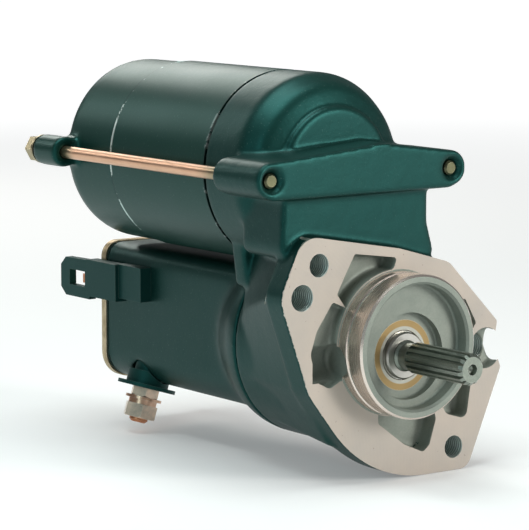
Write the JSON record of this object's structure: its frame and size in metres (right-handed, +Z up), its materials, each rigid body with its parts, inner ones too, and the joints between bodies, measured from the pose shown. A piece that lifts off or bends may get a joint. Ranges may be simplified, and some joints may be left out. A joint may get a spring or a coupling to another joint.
{
  "type": "starter motor",
  "caption": "Offset gear-reduction starter motor: round motor above a boxed solenoid, flat mounting flange with a round pilot, splined output shaft, side plug and battery stud.",
  "frame": {"origin": "centre of the pilot register on the machined mounting face", "axes": "+X right seen from the shaft end, +Y rearwards along the motor, +Z up from the solenoid to the motor; the output shaft points along -Y"},
  "size_m": [0.1214, 0.2379, 0.1603],
  "materials": {
    "housing_paint": "satin dark green-black enamel on cast aluminium and steel",
    "zinc_yellow": "yellow-passivated zinc plate",
    "zinc_silver": "bright zinc plate",
    "zinc_gold": "gold-passivated zinc plate",
    "black_rubber": "matt",
    "black_plastic": "moulded glass-filled nylon",
    "ferrite": "sintered ferrite",
    "spring_steel": "bright",
    "bearing_steel": "ground",
    "shaft_steel": "oiled, machined",
    "copper": "bare copper",
    "carbon": "sintered copper-carbon"
  },
  "bodies": {
    "root": {"drive_housing": "housing_paint", "solenoid_housing": "housing_paint", "yoke": "housing_paint", "rear_cover": "housing_paint", "through_bolts": "zinc_yellow", "cover_screws": "zinc_silver", "solenoid_end_cover": "zinc_gold", "solenoid_gasket": "black_rubber", "lead_grommet": "black_rubber", "field_magnets": "ferrite", "magnet_clips": "spring_steel", "armature_bearing_outer_rings": "bearing_steel", "clutch_bearing_outer_rings": "bearing_steel", "brush_holder_plate": "spring_steel", "brushes": "carbon", "brush_springs": "spring_steel", "idler_pin": "bearing_steel", "battery_stud": "copper", "battery_stud_insulator": "black_plastic", "battery_washers": "zinc_silver", "battery_nuts": "zinc_silver", "motor_stud": "copper", "motor_stud_insulator": "black_plastic", "motor_nut": "zinc_silver", "battery_contact": "copper", "motor_contact": "copper", "coil_bobbin": "black_plastic", "solenoid_coil": "copper", "solenoid_core": "bearing_steel", "solenoid_rear_plate": "bearing_steel", "connector_housing": "black_plastic", "connector_terminal": "copper"},
    "armature": {"armature_shaft": "bearing_steel", "armature_core": "bearing_steel", "armature_windings": "copper", "commutator": "copper", "commutator_hub": "black_plastic", "armature_bearing_inner_rings": "bearing_steel", "armature_bearing_balls": "bearing_steel"},
    "idler": {"idler_gear": "bearing_steel", "idler_rollers": "bearing_steel"},
    "clutch_wheel": {"clutch_gear": "bearing_steel", "clutch_shell": "bearing_steel", "clutch_rollers": "bearing_steel", "roller_spring_retainers": "spring_steel"},
    "sleeve": {"clutch_sleeve": "bearing_steel", "clutch_bearing_inner_rings": "bearing_steel", "clutch_bearing_balls": "bearing_steel"},
    "shaft": {"output_shaft": "shaft_steel", "shaft_retainer": "spring_steel", "shaft_return_spring": "spring_steel"},
    "plunger": {"plunger": "bearing_steel", "push_pin": "bearing_steel", "contact_disc": "copper", "contact_disc_bush": "black_plastic", "plunger_return_spring": "spring_steel"}
  },
  "joints": [
    {"name": "armature_spin", "type": "hinge", "parent": "root", "child": "armature", "pos_m": [-0.0157, 0.09, 0.0665], "axis": [0, 1, 0], "continuous": true},
    {"name": "idler_spin", "type": "hinge", "parent": "root", "child": "idler", "pos_m": [-0.00909, 0.04, 0.04291], "axis": [0, 1, 0], "continuous": true},
    {"name": "clutch_spin", "type": "hinge", "parent": "root", "child": "clutch_wheel", "pos_m": [0, 0.04, -0.00435], "axis": [0, 1, 0], "continuous": true},
    {"name": "sleeve_overrun", "type": "hinge", "parent": "clutch_wheel", "child": "sleeve", "pos_m": [0, 0.02, -0.00435], "axis": [0, 1, 0], "continuous": true},
    {"name": "plunger_travel", "type": "slide", "parent": "root", "child": "plunger", "axis": [0, -1, 0], "range_m": [0, 0.012], "stiffness_N_per_m": 900, "springref_m": -0.004, "deforming": ["plunger_return_spring"]},
    {"name": "shaft_travel", "type": "slide", "parent": "sleeve", "child": "shaft", "axis": [0, -1, 0], "range_m": [0, 0.012], "deforming": ["shaft_return_spring"]}
  ],
  "couplings": [
    {"joint": "idler_spin", "follows": "armature_spin", "ratio": -0.64706},
    {"joint": "clutch_spin", "follows": "armature_spin", "ratio": 0.28947},
    {"joint": "shaft_travel", "follows": "plunger_travel", "ratio": 1}
  ]
}
